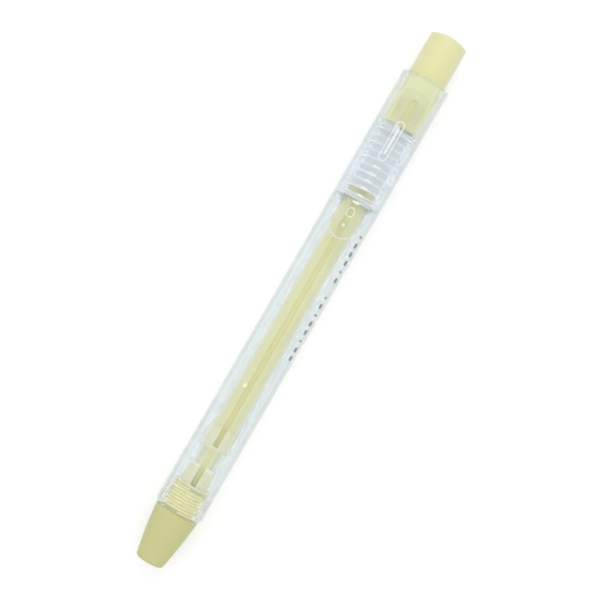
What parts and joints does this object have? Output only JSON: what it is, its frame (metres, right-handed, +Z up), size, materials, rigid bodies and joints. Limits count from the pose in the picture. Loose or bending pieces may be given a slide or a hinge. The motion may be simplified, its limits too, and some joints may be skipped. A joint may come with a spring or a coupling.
{
  "type": "pencil eraser stick",
  "caption": "Clear eraser pen with a pocket clip: pressing the rear knob works a spring and collet that step a thin round eraser out of the screwed nose cone.",
  "frame": {"origin": "on the surface that the pen lies on, below its axis and halfway along its length", "axes": "+X along the pen from the tip to the knob, +Z up from the surface through the clip, +Y across the pen"},
  "size_m": [0.142, 0.012, 0.0145],
  "materials": {
    "clear_barrel": "clear, slightly frosted",
    "clear_clip": "clear, glossy",
    "cream_plastic": "satin",
    "pale_plastic": "milky",
    "spring_steel": "bright drawn wire",
    "ring_brass": "turned",
    "white_vinyl": "matt, slightly soft"
  },
  "bodies": {
    "barrel": {"barrel": "clear_barrel", "spring": "spring_steel"},
    "clip": {"clip": "clear_clip"},
    "plunger": {"knob": "cream_plastic", "push_tube": "pale_plastic", "holder_tube": "cream_plastic", "collet": "pale_plastic"},
    "eraser": {"eraser": "white_vinyl"},
    "chuck_ring": {"chuck_ring": "ring_brass"},
    "chuck_sleeve": {"chuck_sleeve": "pale_plastic"},
    "nose": {"nose_cone": "cream_plastic"}
  },
  "joints": [
    {"name": "knob_press", "type": "slide", "parent": "barrel", "child": "plunger", "axis": [-1, 0, 0], "range_m": [0, 0.004], "stiffness_N_per_m": 500, "springref_m": -0.004, "deforming": ["spring"]},
    {"name": "eraser_feed", "type": "slide", "parent": "plunger", "child": "eraser", "axis": [-1, 0, 0], "range_m": [0, 0.065]},
    {"name": "ring_step", "type": "slide", "parent": "barrel", "child": "chuck_ring", "axis": [-1, 0, 0], "range_m": [0, 0.001]},
    {"name": "nose_turn", "type": "hinge", "parent": "barrel", "child": "chuck_sleeve", "pos_m": [-0.05, 0, 0.006], "axis": [-1, 0, 0], "range_deg": [0, 3150]},
    {"name": "nose_screw", "type": "slide", "parent": "chuck_sleeve", "child": "nose", "axis": [-1, 0, 0], "range_m": [0, 0.007]},
    {"name": "clip_flex", "type": "hinge", "parent": "barrel", "child": "clip", "pos_m": [0.055, 0, 0.01205], "axis": [0, 1, 0], "range_deg": [0, 4], "stiffness_Nm_per_rad": 1.2}
  ],
  "couplings": [
    {"joint": "ring_step", "follows": "knob_press", "ratio": 0.25},
    {"joint": "nose_turn", "follows": "nose_screw", "rad_per_m": 7854}
  ]
}
